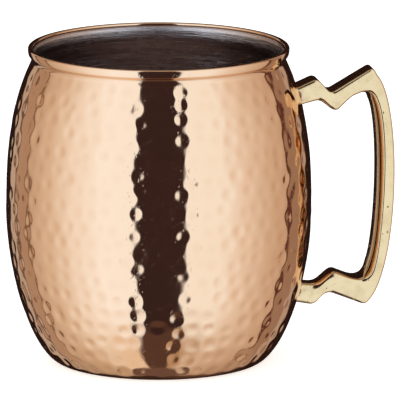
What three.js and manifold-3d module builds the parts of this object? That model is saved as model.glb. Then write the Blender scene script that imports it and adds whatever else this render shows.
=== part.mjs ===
// Hammered copper mug: a barrel-shaped copper shell over a smooth steel liner, with a cast brass
// handle brazed to its side. Millimetres, +Z up. The origin is the centre of the base, and the
// handle lies on +X, in the X-Z plane.

import * as THREE from 'three';
import { mergeVertices } from 'three/addons/utils/BufferGeometryUtils.js';
import Module from 'manifold-3d';

const wasm = await Module();
wasm.setup();

// The barrel, outside
const bodyHeight = 100;
const bellyRadius = 47.8;
const bellyHeight = 49.4;
const footRadius = 31.1;
const footReach = 6.7;          // how far the base runs on flat before it turns up
const lowerFullness = 26;       // length of the upright stretch below the belly
const upperFullness = 15;       // the same, above it
const shoulderInset = 7;        // pull of the shoulder's slope
const shoulderFall = 15;

// The crease at the neck and the rolled rim above it
const neckRadius = 39.85;
const neckDrop = 4.5;           // crease below the lip
const beadProud = 0.8;          // end of the rim's underside, outside the crease
const beadDrop = 2.6;           // the same, below the lip
const beadRise = 0.7;           // pull of the bead's curve upwards
const rimProud = 1.1;           // rim outside the crease
const lipRadius = 0.75;         // half the width of the turned-over lip

// Sheets and clearances
const copperWall = 0.5;
const steelWall = 0.5;
const linerClearance = 0.3;     // shell to liner
const jointClearance = 0.3;     // braze to the metal on either side of it
const brazeThickness = 0.8;
const brazeMargin = 1.5;        // braze outside the root, to each side
const brazeHeight = 9;

// The handle, a flat casting cut to an outline
const handleWidth = 9;
const handleEdge = 0.8;         // chamfer round both faces
const rootDepth = 4;            // how far a root runs into the wall before it is cut to it
const upperRootDrop = 16.4;     // middle of the upper root, below the lip
const lowerRootRise = 20;       // middle of the lower root, above the base
const fingerGap = 21.7;         // belly to the inside of the grip
const gripThickness = 4.8;

// Corners of the arms, as [out from the wall, up from the root's middle, radius of the corner].
// The radii stay larger than the chamfer.
const upperArmTop = [[5.8, 5.6, 1.9], [10.1, 0.8, 1.3]];
const upperArmUnder = [[12.4, -4.8, 1.8], [10.8, -4.8, 1.9], [6.6, -1.3, 1.7]];
const lowerArmUnder = [[9.4, 0, 3.2], [5.4, -4.3, 2.4]];
const lowerArmTop = [[6.1, 2.5, 1.9], [11.4, 6.9, 1.9]];

// Corners of the grip, as [in from the grip's own side, up from that arm's root, radius]
const gripTop = [6.6, 8.6, 1.3];
const gripTip = [9.3, -4.8, 2.4];
const archTop = [3.4, 1, 1.7];
const archShoulder = [8.7, -0.6, 9];
const heel = [4.4, 2.3, 2.3];

// Edges of the roots where they meet the wall, up from the root's middle
const upperRootTop = 2.6;
const upperRootFoot = -3;
const lowerRootTop = 3.2;
const lowerRootFoot = -3.2;

// The bows of the grip, as [out from the grip's own side, up from the nearest corner]: where a bow
// starts and ends, and the two points it is pulled towards.
const outerBowStart = [-5.2, -2.7];
const outerBowPulls = [[2.8, -12.2], [1.6, 6.6]];
const innerBowStart = [-2.9, 5.8];
const innerBowPulls = [[0.2, 14], [1.5, -11.4]];
const innerBowEnd = [-2.3, -3.4];

// Facets
const turns = 48;
const lowerSteps = 8;
const upperSteps = 6;
const beadSteps = 3;
const lipSteps = 5;
const bowSteps = 12;
const cornerSteps = 3;

// ---- Outlines ------------------------------------------------------------------------------

function curvePoints(curve, steps) {
  return curve.getPoints(steps).slice(1);
}

// The barrel's outside from the axis to the start of the lip, as (radius, height).
function barrelOutline() {
  const foot = new THREE.Vector2(footRadius, 0);
  const belly = new THREE.Vector2(bellyRadius, bellyHeight);
  const neck = new THREE.Vector2(neckRadius, bodyHeight - neckDrop);
  const bead = new THREE.Vector2(neckRadius + beadProud, bodyHeight - beadDrop);
  const lipStart = new THREE.Vector2(neckRadius + rimProud, bodyHeight - lipRadius);

  const lower = new THREE.CubicBezierCurve(
    foot,
    new THREE.Vector2(foot.x + footReach, 0),
    new THREE.Vector2(belly.x, belly.y - lowerFullness),
    belly,
  );
  const upper = new THREE.CubicBezierCurve(
    belly,
    new THREE.Vector2(belly.x, belly.y + upperFullness),
    new THREE.Vector2(neck.x + shoulderInset, neck.y - shoulderFall),
    neck,
  );
  const bandTop = new THREE.QuadraticBezierCurve(
    bead,
    new THREE.Vector2(lipStart.x, bead.y + beadRise),
    lipStart,
  );
  return [
    new THREE.Vector2(0, 0),
    foot,
    ...curvePoints(lower, lowerSteps),
    ...curvePoints(upper, upperSteps),
    bead,
    ...curvePoints(bandTop, beadSteps),
  ];
}

// The same outline moved square to itself, inwards where the distance is positive.
function offsetOutline(outline, distance) {
  return outline.map((point, i) => {
    const before = outline[Math.max(i - 1, 0)];
    const after = outline[Math.min(i + 1, outline.length - 1)];
    const into = point.clone().sub(before).normalize();
    const out = after.clone().sub(point).normalize();
    if (i === 0) into.copy(out);
    if (i === outline.length - 1) out.copy(into);
    const normal = new THREE.Vector2(-(into.y + out.y), into.x + out.x).normalize();
    const spread = normal.dot(new THREE.Vector2(-into.y, into.x));
    const moved = point.clone().addScaledVector(normal, distance / spread);
    if (i === 0) moved.x = 0;
    return moved;
  });
}

const barrel = barrelOutline();

// Radius of the barrel's outside at a height.
function wallRadius(height) {
  const i = barrel.findIndex((point, k) => k > 1 && point.y >= height);
  const low = barrel[i - 1];
  const high = barrel[i];
  return low.x + ((high.x - low.x) * (height - low.y)) / (high.y - low.y);
}

// ---- Solids --------------------------------------------------------------------------------

// Shared corners and no empty triangles, so that the surface closes.
function closedGeometry(geometry) {
  const bare = geometry.clone();
  bare.deleteAttribute('normal');
  bare.deleteAttribute('uv');
  const merged = mergeVertices(bare, 1e-4);
  const index = merged.index.array;
  const kept = [];
  for (let i = 0; i < index.length; i += 3) {
    const [a, b, c] = [index[i], index[i + 1], index[i + 2]];
    if (a !== b && b !== c && c !== a) kept.push(a, b, c);
  }
  merged.setIndex(kept);
  return merged;
}

function toSolid(geometry) {
  const closed = closedGeometry(geometry);
  return new wasm.Manifold(new wasm.Mesh({
    numProp: 3,
    vertProperties: new Float32Array(closed.attributes.position.array),
    triVerts: new Uint32Array(closed.index.array),
  }));
}

function toGeometry(solid) {
  const mesh = solid.getMesh();
  const geometry = new THREE.BufferGeometry();
  geometry.setAttribute('position', new THREE.BufferAttribute(mesh.vertProperties, 3));
  geometry.setIndex(new THREE.BufferAttribute(mesh.triVerts, 1));
  geometry.computeVertexNormals();
  return geometry;
}

function turned(outline) {
  const geometry = new THREE.LatheGeometry(outline, turns);
  geometry.rotateX(Math.PI / 2);
  return closedGeometry(geometry);
}

// Everything inside a surface that stands off the barrel's wall by a clearance.
function barrelEnvelope(clearance) {
  const skin = offsetOutline(barrel, -clearance);
  return toSolid(turned([...skin, new THREE.Vector2(0, skin[skin.length - 1].y)]));
}

// The copper: outside, over the lip, back under the hem and down the inside.
function outerShell() {
  const inside = offsetOutline(barrel, copperWall);
  const lipCentre = barrel[barrel.length - 1].clone();
  lipCentre.x -= lipRadius;
  const lip = new THREE.EllipseCurve(lipCentre.x, lipCentre.y, lipRadius, lipRadius, 0, Math.PI);
  return turned([...barrel, ...curvePoints(lip, lipSteps), ...inside.reverse()]);
}

// The steel cup: its edge stops under the copper's hem.
function innerLiner() {
  const edgeHeight = bodyHeight - lipRadius - linerClearance;
  const outside = offsetOutline(barrel, copperWall + linerClearance);
  const inside = offsetOutline(barrel, copperWall + linerClearance + steelWall);
  outside[outside.length - 1].y = edgeHeight;
  inside[inside.length - 1].y = edgeHeight;
  return turned([...outside, ...inside.reverse()]);
}

// A corner of the outline turned as an arc. The arc is smaller where the sides are too short for it.
function corner(before, at, after, radius) {
  const into = at.clone().sub(before);
  const out = after.clone().sub(at);
  const half = Math.abs(into.angle() - out.angle()) / 2;
  const slope = Math.abs(Math.tan(half));
  const reach = Math.min(radius * slope, 0.45 * into.length(), 0.45 * out.length());
  const start = at.clone().addScaledVector(into.normalize(), -reach);
  const side = Math.sign(into.cross(out));
  const centre = start.clone().add(new THREE.Vector2(-into.y, into.x).multiplyScalar(side * reach / slope));
  const turn = side * Math.acos(into.dot(out.normalize()));
  return Array.from({ length: cornerSteps + 1 }, (_, k) => (
    start.clone().rotateAround(centre, (turn * k) / cornerSteps)
  ));
}

// The handle's outline in its own plane, as (out from the axis, height): along the outside from the
// upper root to the lower one, and back along the inside. Both sides of the grip bow outwards.
function handleOutline() {
  const upper = bodyHeight - upperRootDrop;
  const lower = lowerRootRise;
  const gripInside = bellyRadius + fingerGap;
  const gripOutside = gripInside + gripThickness;

  const plain = (x, z) => ({ at: new THREE.Vector2(x, z), radius: 0 });
  const onArm = (root) => ([out, up, radius]) => (
    { at: new THREE.Vector2(wallRadius(root) + out, root + up), radius }
  );
  const onGrip = (side, root, [inwards, up, radius]) => (
    { at: new THREE.Vector2(side - inwards, root + up), radius }
  );
  const top = onGrip(gripOutside, upper, gripTop);
  const tip = onGrip(gripOutside, lower, gripTip);
  const arch = onGrip(gripInside, upper, archTop);
  const bend = onGrip(gripInside, lower, heel);
  const bow = (curve) => curve.getPoints(bowSteps).map((point) => ({ at: point, radius: 0 }));

  const near = (side, cornerAt, [out, up]) => new THREE.Vector2(side + out, cornerAt.y + up);

  const outerBow = bow(new THREE.CubicBezierCurve(
    near(gripOutside, top.at, outerBowStart),
    near(gripOutside, top.at, outerBowPulls[0]),
    near(gripOutside, tip.at, outerBowPulls[1]),
    tip.at,
  )).slice(0, -1);
  const innerBow = bow(new THREE.CubicBezierCurve(
    near(gripInside, bend.at, innerBowStart),
    near(gripInside, bend.at, innerBowPulls[0]),
    near(gripInside, arch.at, innerBowPulls[1]),
    near(gripInside, arch.at, innerBowEnd),
  ));

  const ring = [
    plain(wallRadius(upper) - rootDepth, upper + upperRootTop),
    ...upperArmTop.map(onArm(upper)),
    top,
    ...outerBow,
    tip,
    ...lowerArmUnder.map(onArm(lower)),
    plain(wallRadius(lower) - rootDepth, lower + lowerRootFoot),
    plain(wallRadius(lower) - rootDepth, lower + lowerRootTop),
    ...lowerArmTop.map(onArm(lower)),
    bend,
    ...innerBow,
    arch,
    onGrip(gripInside, upper, archShoulder),
    ...upperArmUnder.map(onArm(upper)),
    plain(wallRadius(upper) - rootDepth, upper + upperRootFoot),
  ];
  return ring.flatMap(({ at, radius }, i) => {
    if (radius === 0) return [at];
    const before = ring[(i + ring.length - 1) % ring.length].at;
    const after = ring[(i + 1) % ring.length].at;
    return corner(before, at, after, radius);
  });
}

// An outline in the X-Z plane given a width across Y, with chamfered edges.
function acrossY(points, width, edge) {
  const depth = width - 2 * edge;
  const geometry = new THREE.ExtrudeGeometry(new THREE.Shape(points), {
    depth,
    bevelThickness: edge,
    bevelSize: edge,
    bevelOffset: -edge,
    bevelSegments: 2,
  });
  geometry.rotateX(Math.PI / 2);
  geometry.translate(0, depth / 2, 0);
  return toSolid(geometry);
}

// The casting, its two roots cut to the curve of the wall outside the braze.
function handle() {
  const standOff = jointClearance + brazeThickness + jointClearance;
  const blank = acrossY(handleOutline(), handleWidth, handleEdge);
  return toGeometry(blank.subtract(barrelEnvelope(standOff)));
}

// A thin pad of braze that follows the wall behind a root, wider than the root all round.
function braze(height) {
  const halfWidth = handleWidth / 2 + brazeMargin;
  const face = new THREE.Shape();
  face.absellipse(0, 0, halfWidth, brazeHeight / 2, 0, 2 * Math.PI);
  const plug = new THREE.ExtrudeGeometry(face, {
    depth: bellyRadius,
    bevelEnabled: false,
    curveSegments: 12,
  });
  plug.rotateY(Math.PI / 2);
  plug.rotateX(Math.PI / 2);
  plug.translate(wallRadius(height) / 2, 0, height);
  const layer = barrelEnvelope(jointClearance + brazeThickness).subtract(barrelEnvelope(jointClearance));
  return toGeometry(toSolid(plug).intersect(layer));
}

// ---- The mug -------------------------------------------------------------------------------

const copper = { color: 0xe0a582, roughness: 0.16, metalness: 1 };
const steel = { color: 0x8f8a88, roughness: 0.34, metalness: 1 };
const brass = { color: 0xdcc08a, roughness: 0.2, metalness: 1 };
const filler = { color: 0xc79a63, roughness: 0.35, metalness: 1 };

const group = new THREE.Group();

function add(name, geometry, finish) {
  const mesh = new THREE.Mesh(geometry, new THREE.MeshStandardMaterial(finish));
  mesh.name = name;
  group.add(mesh);
}

add('outer_shell', outerShell(), copper);
add('inner_liner', innerLiner(), steel);
add('handle', handle(), brass);
add('upper_braze', braze(bodyHeight - upperRootDrop), filler);
add('lower_braze', braze(lowerRootRise), filler);

export default group;
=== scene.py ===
import math

import bpy
import numpy as np
from mathutils import Matrix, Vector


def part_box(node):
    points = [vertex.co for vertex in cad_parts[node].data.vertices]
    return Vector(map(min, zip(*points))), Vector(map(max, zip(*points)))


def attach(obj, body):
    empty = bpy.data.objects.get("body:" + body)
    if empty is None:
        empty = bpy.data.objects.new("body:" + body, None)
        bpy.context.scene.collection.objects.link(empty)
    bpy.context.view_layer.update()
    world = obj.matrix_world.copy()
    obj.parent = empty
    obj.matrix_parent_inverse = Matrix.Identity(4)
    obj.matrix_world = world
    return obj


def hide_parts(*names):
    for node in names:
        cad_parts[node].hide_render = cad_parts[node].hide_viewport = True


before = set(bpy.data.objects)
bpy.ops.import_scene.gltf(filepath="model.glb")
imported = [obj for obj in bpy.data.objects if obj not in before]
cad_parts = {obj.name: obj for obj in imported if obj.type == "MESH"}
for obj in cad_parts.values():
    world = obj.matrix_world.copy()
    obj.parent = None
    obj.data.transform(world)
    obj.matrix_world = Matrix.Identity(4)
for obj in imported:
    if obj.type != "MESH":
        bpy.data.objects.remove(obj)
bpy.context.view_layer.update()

mm = 0.001

# The sizes that every piece is built from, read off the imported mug
shellLow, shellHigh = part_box("outer_shell")
handleLow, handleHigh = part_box("handle")
bodyHeight = shellHigh.z
bellyRadius = -shellLow.x
handleReach = handleHigh.x
handleTop = handleHigh.z
handleFoot = handleLow.z
handleWidth = handleHigh.y - handleLow.y
print("frame loaded, body", round(bodyHeight / mm, 1), "mm high")


def bezier(controls, steps):
    # A Bezier curve: at each t the control points are added up, each times its Bernstein weight
    # comb(n, k) t^k (1 - t)^(n - k).
    t = np.linspace(0, 1, steps + 1)[:, None]
    n = len(controls) - 1
    return sum(
        math.comb(n, k) * t**k * (1 - t) ** (n - k) * np.array(point, float)
        for k, point in enumerate(controls)
    )


def lengthAlong(line):
    # Distance run along a line of points, from 0 at its first point.
    steps = np.linalg.norm(np.diff(line, axis=0), axis=1)
    return np.concatenate([[0], np.cumsum(steps)])


def evenly(line, count):
    # The same line with its points spaced evenly by length.
    run = lengthAlong(line)
    at = np.linspace(0, run[-1], count)
    return np.column_stack([np.interp(at, run, line[:, k]) for k in range(line.shape[1])])


def leftNormals(line):
    # Unit normals of a line in a plane: its direction (dx, dy) turned to (-dy, dx).
    run = lengthAlong(line)
    dx = np.gradient(line[:, 0], run)
    dy = np.gradient(line[:, 1], run)
    size = np.hypot(dx, dy)
    return np.column_stack([-dy / size, dx / size])


def surfaceMesh(name, points, loop=False):
    # points[row, column] is the surface at its two parameters. Columns join up round the piece. Rows
    # join up too where loop is set, and otherwise a fan to the middle of the ring shuts each end. On the
    # piece's map U runs from 0 to 1 round it and V from its first row to its last.
    rows, columns = points.shape[:2]
    verts = points.reshape(-1, 3)
    number = np.arange(rows * columns).reshape(rows, columns)
    onward = np.roll(number, -1, axis=1)
    across = np.linspace(0, 1, columns + 1)
    up = np.linspace(0, 1, rows + int(loop))
    if loop:
        number = np.vstack([number, number[:1]])
        onward = np.vstack([onward, onward[:1]])
    quads = np.stack([number[:-1], onward[:-1], onward[1:], number[1:]], axis=-1).reshape(-1, 4)
    left, low = np.meshgrid(across[:-1], up[:-1])
    right, high = np.meshgrid(across[1:], up[1:])
    quadMap = np.stack(
        [np.stack(pair, -1) for pair in ((left, low), (right, low), (right, high), (left, high))], axis=2
    ).reshape(-1, 2)
    corner = verts[quads]
    facing = np.cross(corner[:, 2] - corner[:, 0], corner[:, 3] - corner[:, 1])
    inward = np.sum(facing * corner.mean(axis=1)) < 0    # about six volumes, less than 0 if inside out

    fans = np.zeros((0, 3), int)
    fanMap = np.zeros((0, 2))
    if not loop:
        middles = np.array([points[0].mean(axis=0), points[-1].mean(axis=0)])
        verts = np.vstack([verts, middles])
        first = rows * columns
        foot = np.column_stack([onward[0], number[0], np.full(columns, first)])
        head = np.column_stack([number[-1], onward[-1], np.full(columns, first + 1)])
        fans = np.vstack([foot, head])
        centre = (across[:-1] + across[1:]) / 2
        level = np.zeros(columns)
        footMap = np.stack([np.stack([across[1:], level], -1), np.stack([across[:-1], level], -1),
                            np.stack([centre, level], -1)], axis=1)
        headMap = np.stack([np.stack([across[:-1], level + 1], -1), np.stack([across[1:], level + 1], -1),
                            np.stack([centre, level + 1], -1)], axis=1)
        fanMap = np.vstack([footMap, headMap]).reshape(-1, 2)
    if inward:
        quads = quads[:, ::-1]
        quadMap = quadMap.reshape(-1, 4, 2)[:, ::-1].reshape(-1, 2)
        fans = fans[:, ::-1]
        fanMap = fanMap.reshape(-1, 3, 2)[:, ::-1].reshape(-1, 2)

    loops = np.concatenate([quads.ravel(), fans.ravel()])
    sizes = np.concatenate([np.full(len(quads), 4), np.full(len(fans), 3)])
    starts = np.concatenate([[0], np.cumsum(sizes)[:-1]])
    mesh = bpy.data.meshes.new(name)
    mesh.vertices.add(len(verts))
    mesh.vertices.foreach_set("co", verts.astype(np.float32).ravel())
    mesh.loops.add(len(loops))
    mesh.loops.foreach_set("vertex_index", loops.astype(np.int32))
    mesh.polygons.add(len(sizes))
    mesh.polygons.foreach_set("loop_start", starts.astype(np.int32))
    mesh.polygons.foreach_set("use_smooth", np.ones(len(sizes), bool))
    mesh.update(calc_edges=True)
    mesh.uv_layers.new(name="UVMap").data.foreach_set(
        "uv", np.vstack([quadMap, fanMap]).astype(np.float32).ravel()
    )
    mesh.validate()
    piece = bpy.data.objects.new(name, mesh)
    bpy.context.scene.collection.objects.link(piece)
    return piece


def addAttribute(piece, name, values):
    # One number for each vertex, for a material to read.
    attribute = piece.data.attributes.new(name, "FLOAT", "POINT")
    attribute.data.foreach_set("value", values.astype(np.float32).ravel())


def finishPiece(piece, material, slotName, *nodes):
    # The piece's metal, the body it rides on and the frame's nodes it stands for. Its slot name is not
    # used.
    piece.data.materials.append(material)
    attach(piece, "root")
    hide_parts(*nodes)
    return piece


def addNode(tree, kind, values=None, **settings):
    # Adds one shader node. A value that is a socket is linked, and any other is set.
    made = tree.nodes.new(kind)
    for key, value in settings.items():
        setattr(made, key, value)
    for socket, value in (values or {}).items():
        if isinstance(value, bpy.types.NodeSocket):
            tree.links.new(value, made.inputs[socket])
        else:
            made.inputs[socket].default_value = value
    return made


def mathNode(tree, operation, *values, clamp=False):
    # One sum on sockets and numbers, as the socket that holds its result.
    made = addNode(tree, "ShaderNodeMath", dict(enumerate(values)), operation=operation, use_clamp=clamp)
    return made.outputs[0]


def spread(tree, value, low, high, toLow=0.0, toHigh=1.0):
    # Maps low..high onto toLow..toHigh, with soft ends.
    made = addNode(
        tree, "ShaderNodeMapRange",
        {"Value": value, "From Min": low, "From Max": high, "To Min": toLow, "To Max": toHigh},
        interpolation_type="SMOOTHSTEP",
    )
    return made.outputs["Result"]


def blendColours(tree, factor, first, second):
    # The colour version of the Mix node has its factor at input 0, its colours at inputs 6 and 7,
    # and their blend at output 2.
    return addNode(tree, "ShaderNodeMix", {0: factor, 6: first, 7: second}, data_type="RGBA").outputs[2]


def newGroup(name, inputs, outputs):
    # An empty shader group, its inputs given as (label, kind, first value) and outputs as (label, kind).
    group = bpy.data.node_groups.new(name, "ShaderNodeTree")
    for label, kind, value in inputs:
        socket = group.interface.new_socket(label, in_out="INPUT", socket_type=kind)
        if value is not None:
            socket.default_value = value
    for label, kind in outputs:
        group.interface.new_socket(label, in_out="OUTPUT", socket_type=kind)
    return group, group.nodes.new("NodeGroupInput"), group.nodes.new("NodeGroupOutput")


def placeGroup(tree, group, values):
    # Puts a shared group into a material, as the socket that holds its one result.
    return addNode(tree, "ShaderNodeGroup", values, node_tree=group).outputs[0]


def makeCloudy():
    # Soft patches of a given size, for tarnish, polish and casting unevenness: the noise's distance
    # from its middle, times four times the contrast, put back about 0.5 and kept within 0 to 1.
    group, given, result = newGroup(
        "cloudyPatches",
        [("Vector", "NodeSocketVector", None), ("Size", "NodeSocketFloat", 0.01),
         ("Contrast", "NodeSocketFloat", 0.5)],
        [("Patches", "NodeSocketFloat")],
    )
    scale = mathNode(group, "DIVIDE", 1.0, given.outputs["Size"])
    noise = addNode(
        group, "ShaderNodeTexNoise",
        {"Vector": given.outputs["Vector"], "Scale": scale, "Detail": 4.0, "Roughness": 0.55},
    )
    centred = mathNode(group, "SUBTRACT", noise.outputs["Fac"], 0.5)
    contrasted = mathNode(group, "MULTIPLY", centred, given.outputs["Contrast"])
    lifted = mathNode(group, "MULTIPLY_ADD", contrasted, 4.0, 0.5, clamp=True)
    group.links.new(lifted, result.inputs["Patches"])
    return group


def makeScratches():
    # Hair scratches in three directions: each is a noise drawn out along one line, of which only the
    # thin crests are kept. Length is the drawing out, as a multiple of the spacing.
    directions = ((0.3, 0.5, 0.2), (1.2, -0.6, 0.9), (-0.7, 0.9, 1.9))
    crestFoot = 0.68
    crestTop = 0.78
    group, given, result = newGroup(
        "hairScratches",
        [("Vector", "NodeSocketVector", None), ("Spacing", "NodeSocketFloat", 0.001),
         ("Length", "NodeSocketFloat", 12.0)],
        [("Scratches", "NodeSocketFloat")],
    )
    scale = mathNode(group, "DIVIDE", 1.0, given.outputs["Spacing"])
    shrink = mathNode(group, "DIVIDE", 1.0, given.outputs["Length"])
    stretch = addNode(group, "ShaderNodeCombineXYZ", {"X": shrink, "Y": 1.0, "Z": 1.0})
    total = None
    for turn in directions:
        turned = addNode(
            group, "ShaderNodeMapping",
            {"Vector": given.outputs["Vector"], "Rotation": turn}, vector_type="POINT",
        )
        drawn = addNode(
            group, "ShaderNodeVectorMath",
            {0: turned.outputs[0], 1: stretch.outputs[0]}, operation="MULTIPLY",
        )
        noise = addNode(
            group, "ShaderNodeTexNoise",
            {"Vector": drawn.outputs[0], "Scale": scale, "Detail": 1.0},
        )
        crest = spread(group, noise.outputs["Fac"], crestFoot, crestTop)
        total = crest if total is None else mathNode(group, "MAXIMUM", total, crest)
    group.links.new(total, result.inputs["Scratches"])
    return group


def makePits():
    # Scattered round pits: cells of a given size, of which a share holds a pit near its middle.
    pitBottom = 0.12
    pitEdge = 0.34
    group, given, result = newGroup(
        "castingPits",
        [("Vector", "NodeSocketVector", None), ("Size", "NodeSocketFloat", 0.001),
         ("Share", "NodeSocketFloat", 0.2)],
        [("Pits", "NodeSocketFloat")],
    )
    scale = mathNode(group, "DIVIDE", 1.0, given.outputs["Size"])
    cells = addNode(
        group, "ShaderNodeTexVoronoi",
        {"Vector": given.outputs["Vector"], "Scale": scale, "Randomness": 1.0},
    )
    deep = spread(group, cells.outputs["Distance"], pitBottom, pitEdge, 1.0, 0.0)
    draw = addNode(group, "ShaderNodeSeparateColor", {"Color": cells.outputs["Color"]})
    chosen = mathNode(group, "LESS_THAN", draw.outputs[0], given.outputs["Share"])
    group.links.new(mathNode(group, "MULTIPLY", deep, chosen), result.inputs["Pits"])
    return group


cloudy = makeCloudy()
hairScratches = makeScratches()
castingPits = makePits()
print("shared shader groups made")


def metalMaterial(name):
    # A bare metal, with its tree, its shader and the place on the piece for its patterns to read.
    material = bpy.data.materials.new(name)
    material.use_nodes = True
    tree = material.node_tree
    tree.nodes.clear()
    shader = addNode(tree, "ShaderNodeBsdfPrincipled", {"Metallic": 1.0})
    output = addNode(tree, "ShaderNodeOutputMaterial", {"Surface": shader.outputs[0]})
    output.is_active_output = True
    place = addNode(tree, "ShaderNodeTexCoord").outputs["Object"]
    return material, tree, shader, place


def addBump(tree, shader, height):
    # Heights are in metres, so the bump's distance and strength stay at 1.
    bump = addNode(tree, "ShaderNodeBump", {"Height": height, "Distance": 1.0, "Strength": 1.0})
    tree.links.new(bump.outputs[0], shader.inputs["Normal"])


copper = {
    "colour": (0.90, 0.58, 0.37, 1.0),
    "warmColour": (0.88, 0.54, 0.33, 1.0),
    "warmShare": 0.5,
    "hollowColour": (0.84, 0.50, 0.30, 1.0),
    "hollowShare": 0.45,
    "roughness": (0.035, 0.08),
    "dulling": (0.2, 0.9),       # the patches' values between which the roughness changes
    "patchSize": 14 * mm,
    "patchContrast": 0.7,
    "scratchSpacing": 0.9 * mm,
    "scratchLength": 14.0,
    "scratchDepth": 0.008 * mm,
    "scratchDull": 0.12,
    "grainSize": 0.5 * mm,
    "grainDepth": 0.002 * mm,
}


def makeCopper():
    c = copper
    material, tree, shader, place = metalMaterial("hammeredCopper")
    patches = placeGroup(
        tree, cloudy, {"Vector": place, "Size": c["patchSize"], "Contrast": c["patchContrast"]}
    )
    scratches = placeGroup(
        tree, hairScratches,
        {"Vector": place, "Spacing": c["scratchSpacing"], "Length": c["scratchLength"]},
    )
    hollow = addNode(tree, "ShaderNodeAttribute", attribute_name="hollow").outputs["Fac"]
    warmth = mathNode(tree, "MULTIPLY", patches, c["warmShare"])
    warmed = blendColours(tree, warmth, c["colour"], c["warmColour"])
    inHollow = mathNode(tree, "MULTIPLY", hollow, c["hollowShare"])
    coloured = blendColours(tree, inHollow, warmed, c["hollowColour"])
    tree.links.new(coloured, shader.inputs["Base Color"])

    polish = spread(tree, patches, *c["dulling"], *c["roughness"])
    worn = mathNode(tree, "MULTIPLY_ADD", scratches, c["scratchDull"], polish)
    tree.links.new(worn, shader.inputs["Roughness"])

    grain = addNode(
        tree, "ShaderNodeTexNoise", {"Vector": place, "Scale": 1 / c["grainSize"], "Detail": 2.0}
    ).outputs["Fac"]
    height = mathNode(
        tree, "SUBTRACT",
        mathNode(tree, "MULTIPLY", grain, c["grainDepth"]),
        mathNode(tree, "MULTIPLY", scratches, c["scratchDepth"]),
    )
    addBump(tree, shader, height)
    return material


barrel = {
    "hubRadius": 2 * mm,         # where the rings of the base stop and a fan shuts it
    "footRadius": 31.1 * mm,
    "footReach": 6.7 * mm,
    "bellyHeight": 49.4 * mm,
    "lowerFullness": 26 * mm,
    "upperFullness": 15 * mm,
    "shoulderInset": 7 * mm,
    "shoulderFall": 15 * mm,
    "neckRadius": 39.85 * mm,
    "neckDrop": 4.5 * mm,
    "beadProud": 0.8 * mm,
    "beadDrop": 2.6 * mm,
    "beadRise": 0.7 * mm,
    "underRise": 1.3 * mm,
    "underLean": 0.12,           # of beadProud
    "rimProud": 1.1 * mm,
    "lipRadius": 0.75 * mm,
    "lipTurn": 1.3 * math.pi,    # how far the lip is rolled over
    "wall": 0.5 * mm,
    "columns": 440,
    "curveSteps": 600,
    "baseRows": 5,
    "hammeredRows": 144,
    "insideRows": 44,
    "rimSteps": (7, 6, 11),      # along its underside, its band and its lip
}


def barrelProfile():
    # The barrel's outside as (radius, height): one cubic Bezier from the foot to the belly and one
    # from there to the crease at the neck.
    b = barrel
    foot = (b["footRadius"], 0)
    belly = (bellyRadius, b["bellyHeight"])
    neck = (b["neckRadius"], bodyHeight - b["neckDrop"])
    lower = bezier(
        [foot, (foot[0] + b["footReach"], 0), (belly[0], belly[1] - b["lowerFullness"]), belly],
        b["curveSteps"],
    )
    upper = bezier(
        [belly, (belly[0], belly[1] + b["upperFullness"]),
         (neck[0] + b["shoulderInset"], neck[1] - b["shoulderFall"]), neck],
        b["curveSteps"],
    )
    return np.vstack([lower, upper[1:]])


def rimProfile():
    # From the crease the rim's underside curls up and out to the bead as a quadratic curve, a second
    # one goes up to the lip, and an arc over it turns down again towards the inside.
    b = barrel
    neck = (b["neckRadius"], bodyHeight - b["neckDrop"])
    bead = (b["neckRadius"] + b["beadProud"], bodyHeight - b["beadDrop"])
    lip = (b["neckRadius"] + b["rimProud"], bodyHeight - b["lipRadius"])
    underSteps, bandSteps, lipSteps = b["rimSteps"]
    pull = (neck[0] + b["underLean"] * b["beadProud"], neck[1] + b["underRise"])
    under = bezier([neck, pull, bead], underSteps)
    band = bezier([bead, (lip[0], bead[1] + b["beadRise"]), lip], bandSteps)
    turn = np.linspace(0, b["lipTurn"], lipSteps + 1)
    over = np.column_stack([
        lip[0] - b["lipRadius"] + b["lipRadius"] * np.cos(turn),
        lip[1] + b["lipRadius"] * np.sin(turn),
    ])
    return np.vstack([under[1:], band[1:], over[1:]])


hammer = {
    "seed": 11,
    "rowPitch": 5.3 * mm,
    "pitch": 5.6 * mm,
    "lowest": 6 * mm,            # first row, measured along the wall from the foot
    "highest": 2.2 * mm,         # last row, short of the neck
    "bowlRadius": 2.75 * mm,
    "depth": 0.155 * mm,
    "footDepth": 0.20 * mm,
    "settling": 2.2,             # the foot's depth has become the usual one at 1 / 2.2 of the wall
    "wander": 0.85 * mm,
    "rowSlip": 0.15,             # of the pitch, to either side
    "bowlRadii": (0.82, 1.15),   # smallest and largest, as shares of bowlRadius
    "bowlDepths": (0.55, 1.3),
    "proud": 0.18 * mm,          # how far the wall between the blows stands out
    "proudFades": (30 * mm, 14 * mm),
    "waves": 26,
    "waveHeight": 0.07 * mm,
    "waveLength": 17 * mm,
    "waveLengths": (0.7, 1.6),   # shortest and longest, as shares of waveLength
    "waveLift": 1.2,
    "waveFades": (4 * mm, 3 * mm),
}


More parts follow.
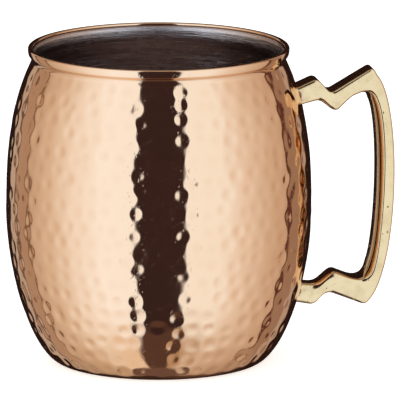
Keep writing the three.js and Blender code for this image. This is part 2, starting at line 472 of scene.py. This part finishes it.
def hammerDents(turn, run, radius):
    # How deep the wall lies below its smooth shape at each angle and length along the wall. Each blow
    # leaves a bowl of depth (1 - d^2)^2 at d bowl radii from its middle; the blows stand in rows round
    # the wall, a little out of place, and every second row is half a pitch round.
    h = hammer
    rng = np.random.default_rng(h["seed"])
    dents = np.zeros((len(run), len(turn)))
    top = run[-1] - h["highest"]
    rows = int((top - h["lowest"]) / h["rowPitch"]) + 1
    for k, middle in enumerate(np.linspace(h["lowest"], top, rows)):
        ring = np.interp(middle, run, radius)
        count = int(round(2 * math.pi * ring / h["pitch"]))
        share = k / (rows - 1)
        depth = h["footDepth"] + (h["depth"] - h["footDepth"]) * min(1, h["settling"] * share)
        aside = rng.normal(0, h["wander"], count)
        above = rng.normal(0, h["wander"], count)
        size = h["bowlRadius"] * rng.uniform(*h["bowlRadii"], count)
        deep = depth * rng.uniform(*h["bowlDepths"], count)
        start = 0.5 * (k % 2) + rng.uniform(-h["rowSlip"], h["rowSlip"])
        near = np.abs(run - middle) < h["bowlRadius"] + 3 * h["wander"]
        place = turn * count / (2 * math.pi) - start
        for shift in (-1, 0, 1):
            slot = np.floor(place + 0.5) + shift
            blow = slot.astype(int) % count
            pitch = 2 * math.pi * radius[near][:, None] / count
            across = (place - slot)[None, :] * pitch - aside[blow][None, :]
            along = (run[near] - middle)[:, None] - above[blow][None, :]
            d2 = (across**2 + along**2) / size[blow][None, :] ** 2
            dents[near] += deep[blow][None, :] * np.clip(1 - d2, 0, 1) ** 2
    return dents


def slowWaves(turn, run):
    # Unevenness wider than a blow: n cosines that run round and up the wall are added up, divided by
    # sqrt(2 n), lifted and halved. Each has a whole number of waves round, so that the ends meet.
    h = hammer
    rng = np.random.default_rng(h["seed"] + 1)
    total = np.zeros((len(run), len(turn)))
    for _ in range(h["waves"]):
        heading = rng.uniform(0, 2 * math.pi)
        stride = h["waveLength"] * rng.uniform(*h["waveLengths"])
        wavesRound = round(math.cos(heading) * 2 * math.pi * bellyRadius / stride)
        rise = math.sin(heading) * 2 * math.pi / stride
        phase = rng.uniform(0, 2 * math.pi)
        total += np.cos(wavesRound * turn[None, :] + rise * run[:, None] + phase)
    return h["waveHeight"] * (total / math.sqrt(2 * h["waves"]) + h["waveLift"]) / 2


def fadeEnds(run, fades):
    # Grows evenly from 0 to 1 over the first fade's length, and falls to 0 again over the last one's.
    return np.clip(run / fades[0], 0, 1) * np.clip((run[-1] - run) / fades[1], 0, 1)


def makeBarrel():
    # P(u, v) = profile(v) turned by the angle u about the axis, moved inwards along the wall's normal
    # by the dents. The profile runs from the base's middle up the outside, over the lip, and down the
    # inside to the middle again.
    b = barrel
    wall = evenly(barrelProfile(), b["hammeredRows"])
    run = lengthAlong(wall)
    turn = np.arange(b["columns"]) * 2 * math.pi / b["columns"]
    bowls = hammerDents(turn, run, wall[:, 0])
    wavy = fadeEnds(run, hammer["waveFades"])
    swollen = fadeEnds(run, hammer["proudFades"])
    depth = bowls + slowWaves(turn, run) * wavy[:, None] - hammer["proud"] * swollen[:, None]

    across = np.linspace(b["hubRadius"], b["footRadius"], b["baseRows"] + 1)[:-1]
    base = np.column_stack([across, np.zeros(b["baseRows"])])
    smooth = evenly(barrelProfile(), b["insideRows"])
    inside = smooth + leftNormals(smooth) * b["wall"]
    hub = [[b["hubRadius"], b["wall"]]]
    profile = np.vstack([base, wall, rimProfile(), inside[::-1], hub])

    normals = -leftNormals(profile)
    dents = np.zeros((len(profile), b["columns"]))
    first = len(base)
    dents[first:first + len(wall)] = depth
    radial = profile[:, :1] - normals[:, :1] * dents
    height = profile[:, 1:] - normals[:, 1:] * dents
    points = np.stack([radial * np.cos(turn), radial * np.sin(turn), height], axis=-1)
    piece = surfaceMesh("copperBarrel", points)
    hollow = np.zeros(len(piece.data.vertices))
    hammered = slice(first * b["columns"], (first + len(wall)) * b["columns"])
    hollow[hammered] = (bowls / hammer["footDepth"]).ravel()
    addAttribute(piece, "hollow", np.clip(hollow, 0, 1))
    return finishPiece(piece, makeCopper(), "copper", "outer_shell")


makeBarrel()
print("barrel hammered")

steel = {
    "colour": (0.74, 0.62, 0.57, 1.0),
    "streakColour": (0.50, 0.41, 0.39, 1.0),
    "toning": (0.4, 0.62),       # the brushing's values between which streaks turn into steel
    "roughness": (0.18, 0.30),
    "dulling": (0.4, 0.9),
    "patchSize": 22 * mm,
    "patchContrast": 0.6,
    "patchShare": 0.3,
    "lineScale": (14.0, 800.0, 1.0),    # cells of the noise round the cup and over the profile
    "bandScale": (5.0, 90.0, 1.0),
    "lineDepth": 0.135 * mm,
    "wall": 0.3 * mm,
    "clearance": 0.05 * mm,
    "straighter": 1.9 * mm,      # how far the wall under the neck stands away from the copper
    "straightAt": 82 * mm,
    "straightReach": 8 * mm,
    "edgeRadius": 39.15 * mm,
    "edgeDrop": 1.05 * mm,
    "edgeWidth": 0.1 * mm,
    "columns": 256,
    "wallRows": 90,
}


def makeSteel():
    # Brushed in rings: the pattern reads the piece's own map, U round the cup and V up it.
    s = steel
    material, tree, shader, place = metalMaterial("brushedSteel")
    around = addNode(tree, "ShaderNodeUVMap", uv_map="UVMap").outputs[0]
    drawn = addNode(
        tree, "ShaderNodeMapping", {"Vector": around, "Scale": s["lineScale"]}, vector_type="POINT"
    ).outputs[0]
    lines = addNode(
        tree, "ShaderNodeTexNoise", {"Vector": drawn, "Scale": 1.0, "Detail": 5.0, "Roughness": 0.65}
    ).outputs["Fac"]
    wide = addNode(
        tree, "ShaderNodeMapping", {"Vector": around, "Scale": s["bandScale"]}, vector_type="POINT"
    ).outputs[0]
    bands = addNode(
        tree, "ShaderNodeTexNoise", {"Vector": wide, "Scale": 1.0, "Detail": 3.0}
    ).outputs["Fac"]
    patches = placeGroup(
        tree, cloudy, {"Vector": place, "Size": s["patchSize"], "Contrast": s["patchContrast"]}
    )
    brushing = mathNode(tree, "MULTIPLY_ADD", bands, 0.5, mathNode(tree, "MULTIPLY", lines, 0.5))
    tone = spread(tree, brushing, *s["toning"])
    tree.links.new(blendColours(tree, tone, s["streakColour"], s["colour"]), shader.inputs["Base Color"])
    uneven = mathNode(tree, "MULTIPLY_ADD", patches, s["patchShare"], brushing)
    tree.links.new(spread(tree, uneven, *s["dulling"], *s["roughness"]), shader.inputs["Roughness"])
    addBump(tree, shader, mathNode(tree, "MULTIPLY", lines, s["lineDepth"]))
    return material


def makeLiner():
    # P(u, v) = profile(v) turned by the angle u about the axis. The profile is the barrel's own, moved
    # in past the copper, from the middle of the base up its back, over its edge under the copper's
    # hem, and down its face. Under the neck it is straighter than the barrel, as it is moved in
    # further by straighter * exp(-((z - straightAt) / straightReach)^2).
    s = steel
    line = evenly(np.vstack([[[barrel["hubRadius"], 0]], barrelProfile()]), s["wallRows"])
    inwards = leftNormals(line)
    gap = barrel["wall"] + s["clearance"]
    away = (line[:, 1] - s["straightAt"]) / s["straightReach"]
    aside = s["straighter"] * np.exp(-away**2)
    back = line + inwards * gap
    face = line + inwards * (gap + s["wall"])
    back[:, 0] -= aside
    face[:, 0] -= aside
    edge = np.array([[s["edgeRadius"], bodyHeight - s["edgeDrop"]]])
    back = evenly(np.vstack([back, edge + [[s["edgeWidth"], 0]]]), s["wallRows"])
    face = evenly(np.vstack([face, edge]), s["wallRows"])
    profile = np.vstack([back, face[::-1]])
    turn = np.arange(s["columns"]) * 2 * math.pi / s["columns"]
    radial = profile[:, :1]
    height = profile[:, 1:] + np.zeros(len(turn))
    points = np.stack([radial * np.cos(turn), radial * np.sin(turn), height], axis=-1)
    piece = surfaceMesh("steelLiner", points)
    return finishPiece(piece, makeSteel(), "steel", "inner_liner")


makeLiner()
print("liner brushed")

# Lengths are in mm. Each edge of the handle is a list of knots: [length along the handle, how far in
# from its outermost point, height, reach of the rounded corner, the end that the height starts from].
# Heights are down from the handle's top, or up from its foot. A bow is the stretch of the grip that is
# one Bezier curve: its two ends along the handle, and its two inner control points.
handleShape = {
    "outer": [
        [0, 31.4, 5.9, 0, "top"], [6.5, 24.5, 3.0, 1.5, "top"], [12.8, 20.2, 7.9, 1.6, "top"],
        [28.5, 6.65, 0.0, 1.5, "top"], [31.5, 5.2, 2.7, 0, "top"],
        [101, 9.3, 0.0, 1.4, "foot"], [113, 21.4, 4.8, 2.2, "foot"], [118, 25.4, 0.5, 1.6, "foot"],
        [124, 31.4, 1.6, 0, "foot"],
    ],
    "outerBow": (31.5, 101, (-3.3, 12.2, "top"), (-2.1, 6.6, "foot")),
    "inner": [
        [0, 31.4, 11.7, 0, "top"], [7.4, 23.7, 9.9, 1.4, "top"], [11.6, 19.5, 13.4, 1.1, "top"],
        [13.4, 17.9, 13.4, 0.8, "top"], [19.5, 13.5, 9.2, 2.4, "top"], [33, 8.2, 7.6, 7, "top"],
        [41, 7.1, 11.0, 0, "top"],
        [83.6, 7.7, 12.9, 0, "foot"], [95, 9.2, 7.1, 9.5, "foot"], [112, 19.4, 11.5, 2.2, "foot"],
        [117.6, 24.7, 7.3, 2.0, "foot"], [124, 31.4, 8.0, 0, "foot"],
    ],
    "innerBow": (41, 83.6, (3.3, 19, "top"), (4.6, 21.1, "foot")),
    # [length along, value]: the far side's half width as a share of the near side's
    "backWidth": [
        [0, 0.9], [14, 1.0], [28, 0.86], [40, 1.05], [90, 1.08], [112, 0.7], [118, 0.4], [124, 0.4],
    ],
    # [length along, radius] of the corners on the outside, and of the near one on the inside, which is
    # wider across than it is high
    "outerRound": [[0, 0.8], [24, 0.7], [30, 0.8], [98, 0.9], [112, 1.0], [124, 1.0]],
    "innerRound": [
        [0, 1.0], [7, 1.2], [20, 1.0], [30, 1.4], [40, 2.0], [86, 2.0], [100, 1.4], [124, 2.2],
    ],
    "innerAcross": [
        [0, 1.0], [7, 1.2], [20, 1.2], [30, 3.4], [40, 6.4], [86, 6.4], [100, 2.6], [124, 2.2],
    ],
    "backRound": 1.0,
    "wallGap": 0.12,
    "rows": 320,
    "bowSteps": 400,
    "arcPoints": 6,
    "flatPoints": (0.06, 0.3, 0.7, 0.94),    # shares of the way from one corner's arc to the next
}


def handlePoint(inwards, height, end):
    # A knot's or a control point's place as (x, z).
    z = handleTop - height * mm if end == "top" else handleFoot + height * mm
    return (handleReach - inwards * mm, z)


def edgeLine(knots, bow, along):
    # Straight between knots, a cubic Bezier over the bow's stretch, and near each knot that has a
    # reach a quadratic Bezier from one reach before it to one reach after it, pulled to the knot.
    at = np.array([knot[0] for knot in knots], float)
    place = np.array([handlePoint(knot[1], knot[2], knot[4]) for knot in knots])
    start, end, firstPull, secondPull = bow
    k = list(at).index(start)
    controls = [place[k], handlePoint(*firstPull), handlePoint(*secondPull), place[k + 1]]
    bowLine = bezier(controls, handleShape["bowSteps"])
    bowShare = np.linspace(0, 1, len(bowLine))

    def sharp(u):
        line = np.column_stack([np.interp(u, at, place[:, axis]) for axis in (0, 1)])
        share = np.clip((u - start) / (end - start), 0, 1)
        bowed = np.column_stack([np.interp(share, bowShare, bowLine[:, axis]) for axis in (0, 1)])
        return np.where(((u >= start) & (u <= end))[:, None], bowed, line)

    line = sharp(along)
    for middle, reach in ((knot[0], knot[3]) for knot in knots if knot[3] > 0):
        before, here, after = sharp(np.array([middle - reach, middle, middle + reach], float))
        t = np.clip((along - middle + reach) / (2 * reach), 0, 1)[:, None]
        rounded = (1 - t) ** 2 * before + 2 * t * (1 - t) * here + t**2 * after
        line = np.where((np.abs(along - middle) < reach)[:, None], rounded, line)
    return line


def wallRadius(height):
    # The barrel's radius at a height, without its blows.
    line = barrelProfile()
    return np.interp(height, line[:, 1], line[:, 0])


def onWall(y, z, standOff):
    # The wall's x at a place across and up: sqrt(r(z)^2 - y^2), moved out by the stand-off.
    return np.sqrt((wallRadius(z) + standOff) ** 2 - y**2)


def roundedSections(tall, corners):
    # Rectangles with quarter-ellipse corners, one for each row. A corner is [side, end, half width,
    # radius across, radius up], and its arc runs over the angle t as
    # (side (half - across) + across cos t, end (tall - up) + up sin t). A few points lie on the
    # straight line from each arc's end to the next arc's start.
    arcs = []
    for k, (side, end, half, across, up) in enumerate(corners):
        t = (k + np.linspace(0, 1, handleShape["arcPoints"])) * math.pi / 2
        arcs.append(np.stack([
            side * (half - across)[:, None] + across[:, None] * np.cos(t),
            end * (tall - up)[:, None] + up[:, None] * np.sin(t),
        ], axis=-1))
    line = []
    for arc, following in zip(arcs, arcs[1:] + arcs[:1]):
        line.append(arc)
        for share in handleShape["flatPoints"]:
            line.append(arc[:, -1:] * (1 - share) + following[:, :1] * share)
    return np.concatenate(line, axis=1)


def makeHandleMesh():
    # P(u, v): at each length u the two edges give the section's middle, height and upward direction.
    # Round the section v, a rectangle of that height and the width at u, its corners quarter ellipses.
    s = handleShape
    along = np.linspace(0, s["outer"][-1][0], s["rows"])
    outer = edgeLine(s["outer"], s["outerBow"], along)
    inner = edgeLine(s["inner"], s["innerBow"], along)
    middle = (outer + inner) / 2
    tall = np.linalg.norm(outer - inner, axis=1) / 2
    upward = (outer - inner) / (2 * tall[:, None])

    def measure(name):
        table = np.array(s[name])
        return np.interp(along, table[:, 0], table[:, 1])

    front = np.full(len(along), handleWidth / 2)
    back = front * measure("backWidth")
    outerRound = measure("outerRound") * mm
    backRound = np.full(len(along), s["backRound"] * mm)
    section = roundedSections(tall, [
        (1, 1, back, outerRound, outerRound),
        (-1, 1, front, outerRound, outerRound),
        (-1, -1, front, measure("innerAcross") * mm, measure("innerRound") * mm),
        (1, -1, back, backRound, backRound),
    ])
    across, up = section[:, :, 0], section[:, :, 1]
    x = middle[:, :1] + upward[:, :1] * up
    z = middle[:, 1:] + upward[:, 1:] * up
    points = np.stack([x, across, z], axis=-1)
    for end in (0, -1):
        points[end, :, 0] = onWall(points[end, :, 1], points[end, :, 2], s["wallGap"] * mm)
    return surfaceMesh("brassHandle", points)


brass = {
    "colour": (0.80, 0.56, 0.31, 1.0),
    "dullColour": (0.70, 0.47, 0.23, 1.0),
    "dullShare": 0.6,
    "roughness": (0.07, 0.17),
    "dulling": (0.2, 0.9),
    "patchSize": 5 * mm,
    "patchContrast": 0.6,
    "scratchSpacing": 0.7 * mm,
    "scratchLength": 10.0,
    "scratchDull": 0.10,
    "pitSize": 1.5 * mm,
    "pitShare": 0.10,
    "pitDepth": 0.03 * mm,
    "pitDull": 0.2,
    "skinSize": 2.6 * mm,
    "skinContrast": 0.4,
    "skinDepth": 0.010 * mm,
}


def makeBrass():
    b = brass
    material, tree, shader, place = metalMaterial("castBrass")
    patches = placeGroup(
        tree, cloudy, {"Vector": place, "Size": b["patchSize"], "Contrast": b["patchContrast"]}
    )
    scratches = placeGroup(
        tree, hairScratches,
        {"Vector": place, "Spacing": b["scratchSpacing"], "Length": b["scratchLength"]},
    )
    pits = placeGroup(
        tree, castingPits, {"Vector": place, "Size": b["pitSize"], "Share": b["pitShare"]}
    )
    dulled = mathNode(tree, "MAXIMUM", mathNode(tree, "MULTIPLY", patches, b["dullShare"]), pits)
    tree.links.new(blendColours(tree, dulled, b["colour"], b["dullColour"]), shader.inputs["Base Color"])
    polish = spread(tree, patches, *b["dulling"], *b["roughness"])
    worn = mathNode(tree, "MULTIPLY_ADD", scratches, b["scratchDull"], polish)
    pitted = mathNode(tree, "MULTIPLY_ADD", pits, b["pitDull"], worn)
    tree.links.new(pitted, shader.inputs["Roughness"])
    skin = placeGroup(
        tree, cloudy, {"Vector": place, "Size": b["skinSize"], "Contrast": b["skinContrast"]}
    )
    height = mathNode(
        tree, "SUBTRACT",
        mathNode(tree, "MULTIPLY", skin, b["skinDepth"]),
        mathNode(tree, "MULTIPLY", pits, b["pitDepth"]),
    )
    addBump(tree, shader, height)
    return material


handlePiece = makeHandleMesh()
finishPiece(handlePiece, makeBrass(), "brass", "handle")
print("handle cast")

braze = {
    "colour": (0.82, 0.55, 0.34, 1.0),
    "scaleColour": (0.30, 0.17, 0.10, 1.0),
    "scaling": (0.55, 0.85),     # the patches' values between which fire scale begins
    "roughness": (0.12, 0.38),
    "dulling": (0.2, 0.9),
    "patchSize": 1.6 * mm,
    "patchContrast": 1.0,
    "pitSize": 0.8 * mm,
    "pitShare": 0.25,
    "unevenness": 0.05 * mm,
    "skirt": 1.0 * mm,           # how far the filler reaches along the wall
    "climb": 1.1 * mm,           # how far it climbs up the root
    "lumps": (1, 2, 3, 5, 7),    # waves round the ring that make it uneven
    "skirtLumps": 0.22,
    "climbLumps": 0.15,
    "lumpShift": 17,             # columns, so that skirt and climb aren't widest at the same places
    "squareness": 3.2,           # 2 is an ellipse, and more is nearer to a rectangle
    "hollowness": 1.6,
    "sink": 0.25 * mm,           # how deep the ring's hidden side lies in the wall
    "columns": 96,
    "rows": 16,
    # piece, node, the root's middle height and half height, lean upwards as it climbs, seed
    "joints": (
        ("upperBraze", "upper_braze", handleTop - 8.4 * mm, 2.9 * mm, 0.2, 3),
        ("lowerBraze", "lower_braze", handleFoot + 4.8 * mm, 3.1 * mm, -0.05, 4),
    ),
}


def makeBrazeMetal():
    b = braze
    material, tree, shader, place = metalMaterial("brazeFillet")
    patches = placeGroup(
        tree, cloudy, {"Vector": place, "Size": b["patchSize"], "Contrast": b["patchContrast"]}
    )
    pits = placeGroup(
        tree, castingPits, {"Vector": place, "Size": b["pitSize"], "Share": b["pitShare"]}
    )
    marked = mathNode(tree, "MAXIMUM", spread(tree, patches, *b["scaling"]), pits)
    tree.links.new(blendColours(tree, marked, b["colour"], b["scaleColour"]), shader.inputs["Base Color"])
    tree.links.new(spread(tree, patches, *b["dulling"], *b["roughness"]), shader.inputs["Roughness"])
    sunken = mathNode(tree, "MULTIPLY", pits, -b["unevenness"])
    addBump(tree, shader, mathNode(tree, "MULTIPLY_ADD", patches, b["unevenness"], sunken))
    return material


def makeBraze(name, height, halfWidth, halfHeight, slope, seed):
    # A ring of filler round a root. Its outline at the angle u is (halfWidth cos^p u, halfHeight sin^p u)
    # with p = 2 / squareness and each power keeping its sign. Round the ring's own section, out from the
    # outline and up the root, it starts in the wall under the skirt, runs over the hollow of the fillet
    # as (skirt (1 - t)^2, climb t^hollowness), and goes down beside the root into the wall again.
    b = braze
    rng = np.random.default_rng(seed)
    turn = np.arange(b["columns"]) * 2 * math.pi / b["columns"]
    power = 2 / b["squareness"]
    unitY = np.sign(np.cos(turn)) * np.abs(np.cos(turn)) ** power
    unitZ = np.sign(np.sin(turn)) * np.abs(np.sin(turn)) ** power
    lumps = sum(
        rng.uniform(0.4, 1) * np.cos(k * turn + rng.uniform(0, 2 * math.pi)) / k for k in b["lumps"]
    )
    skirt = b["skirt"] * (1 + b["skirtLumps"] * lumps)
    climb = b["climb"] * (1 + b["climbLumps"] * np.roll(lumps, b["lumpShift"]))
    t = np.linspace(0, 1, b["rows"])
    underSkirt = [[0.5, 0]]
    fillet = np.column_stack([(1 - t) ** 2, t ** b["hollowness"]])
    besideRoot = [[-0.08, 0.7], [-0.08, 0.35], [-0.08, 0]]
    ring = np.vstack([underSkirt, fillet, besideRoot])
    sunk = np.zeros((len(ring), 1))
    sunk[[0, 1, -1], 0] = (1.0, 0.6, 0.5)    # only the section's lowest points lie in the wall
    out = ring[:, :1] * skirt
    rise = ring[:, 1:] * climb
    y = halfWidth * unitY + out * np.cos(turn)
    z = height + halfHeight * unitZ + out * np.sin(turn)
    x = onWall(y, z, 0.0) + rise - b["sink"] * sunk
    return surfaceMesh(name, np.stack([x, y, z + slope * rise], axis=-1), loop=True)


brazeMetal = makeBrazeMetal()
for ringName, node, rootHeight, halfHeight, slope, seed in braze["joints"]:
    ringPiece = makeBraze(ringName, rootHeight, handleWidth / 2, halfHeight, slope, seed)
    finishPiece(ringPiece, brazeMetal, "braze", node)
print("joints brazed")

view = {
    "bearing": 10.0,            # degrees round from -Y towards -X
    "elevation": 11.71,
    "distance": 3.0,            # metres
    "lens": 860.5,              # millimetres, as the sensor is
    "sensor": 36.0,
    "aside": 12.91 * mm,        # from the middle of the mug's axis
    "above": 0.75 * mm,
}


def cameraAxes():
    # The camera's right, up and backward directions from its bearing and elevation.
    bearing = math.radians(view["bearing"])
    elevation = math.radians(view["elevation"])
    right = np.array([math.cos(bearing), -math.sin(bearing), 0])
    back = np.array([
        -math.sin(bearing) * math.cos(elevation),
        -math.cos(bearing) * math.cos(elevation),
        math.sin(elevation),
    ])
    return right, np.cross(back, right), back


def makeCamera():
    # Stands straight back from a place beside the middle of the mug.
    right, up, back = cameraAxes()
    data = bpy.data.cameras.new("camera")
    data.sensor_width = view["sensor"]
    data.lens = view["lens"]
    data.clip_start = 0.1
    data.clip_end = 50
    data.dof.use_dof = False
    camera = bpy.data.objects.new("camera", data)
    place = np.array([0, 0, bodyHeight / 2]) + view["aside"] * right + view["above"] * up
    place = place + view["distance"] * back
    matrix = np.eye(4)
    matrix[:3, 0], matrix[:3, 1], matrix[:3, 2], matrix[:3, 3] = right, up, back, place
    camera.matrix_world = Matrix(matrix.tolist())
    bpy.context.scene.collection.objects.link(camera)
    bpy.context.scene.camera = camera


makeCamera()

studio = {
    "floorSize": 6.0,
    "floorColour": (0.86, 0.86, 0.86, 1),
    "floorGlow": 0.55,
    "domeRadius": 1.2,
    "domeColumns": 360,
    "domeRows": 90,
    "highest": 89,              # elevation of the dome's last ring, in degrees, as all below are
    "strength": 1.8,
    "top": (0.45, 0.42, 0.38),
    "topEdge": (54, 66),
    "foot": (0.16, 0.105, 0.095),
    "footEdge": (-80, -74),
    "tableEdge": (-62, -35),
    "gapTableEdge": (-50, -42),
    "gapMiddle": 0.505,         # of the way round the map
    "gapSide": (0.05, 0.062),
    # [degrees to the right of the camera's bearing, light there as red, green, blue]
    "around": [
        [-180, 0.022, 0.011, 0.009], [-149, 0.022, 0.011, 0.009], [-147, 0.55, 0.48, 0.42],
        [-138, 0.52, 0.47, 0.41], [-136.5, 0.14, 0.09, 0.07], [-134, 0.14, 0.09, 0.07],
        [-132.5, 0.46, 0.355, 0.285], [-118, 0.46, 0.355, 0.285], [-116.8, 0.22, 0.15, 0.11],
        [-114.5, 0.22, 0.15, 0.11], [-113.5, 0.60, 0.52, 0.44], [-90, 0.78, 0.75, 0.70],
        [-66, 1.00, 1.12, 1.25], [-42, 1.10, 1.36, 1.66], [-18.3, 1.08, 1.34, 1.62],
        [-16.7, 0.042, 0.026, 0.029], [19.2, 0.042, 0.026, 0.029], [20.4, 1.06, 1.30, 1.55],
        [48, 1.04, 1.26, 1.48], [66, 0.90, 0.93, 0.97], [90, 0.72, 0.67, 0.62],
        [111.5, 0.60, 0.50, 0.41], [112.5, 0.12, 0.05, 0.04], [116.5, 0.12, 0.05, 0.04],
        [117.5, 0.36, 0.26, 0.20], [135, 0.35, 0.25, 0.195], [137, 0.52, 0.44, 0.39],
        [143, 0.50, 0.42, 0.37], [145, 0.15, 0.08, 0.05], [149, 0.022, 0.011, 0.009],
        [180, 0.022, 0.011, 0.009],
    ],
    # The same below the edge of the table, where the light is lower and the gap less dark
    "below": [
        [-180, 0.04, 0.025, 0.02], [-152, 0.06, 0.04, 0.03], [-142, 0.45, 0.37, 0.30],
        [-110, 0.58, 0.50, 0.41], [-90, 0.65, 0.58, 0.47], [-66, 0.86, 0.87, 0.84],
        [-42, 0.88, 0.84, 0.75], [-27, 0.86, 0.82, 0.74], [-21, 0.11, 0.066, 0.055],
        [18.5, 0.10, 0.063, 0.052], [23, 0.50, 0.38, 0.27], [54, 0.74, 0.72, 0.68],
        [78, 0.65, 0.59, 0.55], [110, 0.58, 0.49, 0.41], [135, 0.44, 0.35, 0.28],
        [150, 0.12, 0.07, 0.05], [180, 0.05, 0.03, 0.025],
    ],
}


def asColour(light):
    # A light as the colour that the dome's strength multiplies.
    return (*[part / studio["strength"] for part in light], 1)


def rampOf(tree, factor, stops):
    # The colours at their bearings, the dome's map running from -180 to 180 degrees.
    ramp = addNode(tree, "ShaderNodeValToRGB", {"Fac": factor})
    elements = ramp.color_ramp.elements
    while len(elements) < len(stops):
        elements.new(0.5)
    for element, (bearing, *light) in zip(elements, stops):
        element.position = (bearing + 180) / 360
        element.color = asColour(light)
    return ramp.outputs["Color"]


def edgeMask(tree, height, edge, below, above):
    # Goes from one value to the other between two elevations, the dome's map running between its
    # lowest and highest rings.
    low, high = (0.5 + elevation / (2 * studio["highest"]) for elevation in edge)
    return spread(tree, height, low, high, below, above)


def makeDomeLight():
    # The bearings' colours above and below the table's edge, and one colour each at top and foot. The
    # table's edge is a soft one, but steeper inside the dark gap.
    s = studio
    material = bpy.data.materials.new("lightDome")
    material.use_nodes = True
    tree = material.node_tree
    tree.nodes.clear()
    onMap = addNode(tree, "ShaderNodeUVMap", uv_map="UVMap").outputs[0]
    bearing, height = addNode(tree, "ShaderNodeSeparateXYZ", {0: onMap}).outputs[:2]
    soft = edgeMask(tree, height, s["tableEdge"], 1.0, 0.0)
    steep = edgeMask(tree, height, s["gapTableEdge"], 1.0, 0.0)
    fromGap = mathNode(tree, "ABSOLUTE", mathNode(tree, "SUBTRACT", bearing, s["gapMiddle"]))
    inGap = spread(tree, fromGap, *s["gapSide"], 1.0, 0.0)
    lowered = mathNode(tree, "MULTIPLY_ADD", mathNode(tree, "SUBTRACT", steep, soft), inGap, soft)
    around = rampOf(tree, bearing, s["around"])
    below = rampOf(tree, bearing, s["below"])
    sides = blendColours(tree, lowered, around, below)
    raised = edgeMask(tree, height, s["topEdge"], 0.0, 1.0)
    capped = blendColours(tree, raised, sides, asColour(s["top"]))
    under = edgeMask(tree, height, s["footEdge"], 1.0, 0.0)
    light = blendColours(tree, under, capped, asColour(s["foot"]))
    glow = addNode(tree, "ShaderNodeEmission", {"Color": light, "Strength": s["strength"]})
    addNode(tree, "ShaderNodeOutputMaterial", {"Surface": glow.outputs[0]})
    material.cycles.emission_sampling = "NONE"
    return material


def makeDome():
    # A sphere of light round the mug: P(a, e) = radius (cos e times the bearing a, sin e). It lights
    # the metals' reflections only.
    s = studio
    right, _, back = cameraAxes()
    towards = np.array([back[0], back[1], 0]) / math.hypot(back[0], back[1])
    bearing = np.radians(np.linspace(-180, 180, s["domeColumns"] + 1)[:-1])
    rise = np.radians(np.linspace(-s["highest"], s["highest"], s["domeRows"]))
    flat = np.cos(bearing)[:, None] * towards + np.sin(bearing)[:, None] * right
    points = np.cos(rise)[:, None, None] * flat[None] + np.sin(rise)[:, None, None] * np.array([0, 0, 1])
    dome = surfaceMesh("lightDome", s["domeRadius"] * points + np.array([0, 0, bodyHeight / 2]))
    dome.data.materials.append(makeDomeLight())
    for ray in ("visible_camera", "visible_diffuse", "visible_shadow", "visible_transmission"):
        setattr(dome, ray, False)


def makeFloor():
    # A plain white table top, which the mug's metals don't mirror.
    half = studio["floorSize"] / 2
    corners = [(-half, -half, 0), (half, -half, 0), (half, half, 0), (-half, half, 0)]
    mesh = bpy.data.meshes.new("floor")
    mesh.from_pydata(corners, [], [(0, 1, 2, 3)])
    floor = bpy.data.objects.new("floor", mesh)
    bpy.context.scene.collection.objects.link(floor)
    material = bpy.data.materials.new("floor")
    material.use_nodes = True
    shader = material.node_tree.nodes["Principled BSDF"]
    shader.inputs["Base Color"].default_value = studio["floorColour"]
    shader.inputs["Roughness"].default_value = 0.9
    shader.inputs["Specular IOR Level"].default_value = 0.0
    shader.inputs["Emission Color"].default_value = (1, 1, 1, 1)
    shader.inputs["Emission Strength"].default_value = studio["floorGlow"]
    material.cycles.emission_sampling = "NONE"
    mesh.materials.append(material)
    floor.visible_glossy = False
    floor.visible_shadow = False


def makeWorld():
    world = bpy.data.worlds.new("studio")
    bpy.context.scene.world = world
    world.use_nodes = True
    world.node_tree.nodes["Background"].inputs["Color"].default_value = (1, 1, 1, 1)
    world.node_tree.nodes["Background"].inputs["Strength"].default_value = 1.0
    world.cycles.sampling_method = "NONE"


makeDome()
makeFloor()
makeWorld()
bpy.context.scene.view_settings.view_transform = "Standard"
print("studio lit")
